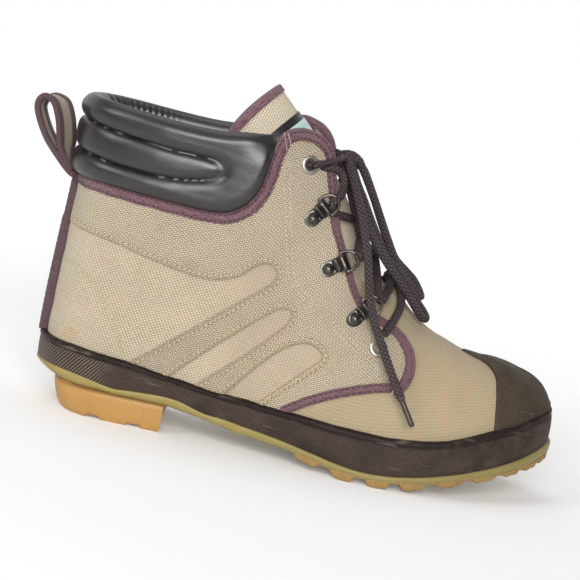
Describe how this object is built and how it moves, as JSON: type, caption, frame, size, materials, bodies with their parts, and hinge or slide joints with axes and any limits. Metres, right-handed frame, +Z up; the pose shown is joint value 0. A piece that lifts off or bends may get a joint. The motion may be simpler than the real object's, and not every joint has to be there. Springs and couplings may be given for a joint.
{
  "type": "ankle boot",
  "caption": "Lace-up ankle boot for the right foot: cloth upper, padded collar, rubber foxing band and toe cap, lugged gum sole, D-ring lacing.",
  "frame": {"origin": "on the floor under the centre of the heel block, on the boot's centre plane", "axes": "+X towards the toe, +Y towards the inner (medial) side of this right boot, +Z up"},
  "size_m": [0.333, 0.1184, 0.2053],
  "materials": {
    "canvas": "coarse tan basket-weave nylon cloth",
    "dark_rubber": "dark brown moulded rubber, satin",
    "gum_rubber": "amber gum rubber, satin",
    "leatherette": "dark brown smooth leatherette",
    "lining": "matt knitted lining",
    "binding": "dark red woven binding tape",
    "gunmetal": "dark plated steel, slightly worn",
    "lace": "dark brown round braid",
    "aglet": "dark plastic tip"
  },
  "bodies": {
    "root": {"aglet_far": "aglet", "aglet_near": "aglet", "back_seam": "binding", "clip_1_lateral": "gunmetal", "clip_1_medial": "gunmetal", "clip_2_lateral": "gunmetal", "clip_2_medial": "gunmetal", "clip_3_lateral": "gunmetal", "clip_3_medial": "gunmetal", "collar": "leatherette", "d_ring_1_lateral": "gunmetal", "d_ring_1_medial": "gunmetal", "d_ring_2_lateral": "gunmetal", "d_ring_2_medial": "gunmetal", "d_ring_3_lateral": "gunmetal", "d_ring_3_medial": "gunmetal", "eyelet_bottom_lateral": "gunmetal", "eyelet_bottom_medial": "gunmetal", "eyelet_top_lateral": "gunmetal", "eyelet_top_medial": "gunmetal", "foxing": "dark_rubber", "heel": "gum_rubber", "insole": "lining", "lace_crossings": "lace", "lace_end_far": "lace", "lace_end_near": "lace", "lace_knot": "lace", "lace_loop_far": "lace", "lace_loop_near": "lace", "outsole": "gum_rubber", "pull_loop": "binding", "rivet_1_lateral": "gunmetal", "rivet_1_medial": "gunmetal", "rivet_2_lateral": "gunmetal", "rivet_2_medial": "gunmetal", "rivet_3_lateral": "gunmetal", "rivet_3_medial": "gunmetal", "toe_cap": "dark_rubber", "tongue": "canvas", "upper": "canvas"}
  },
  "joints": []
}
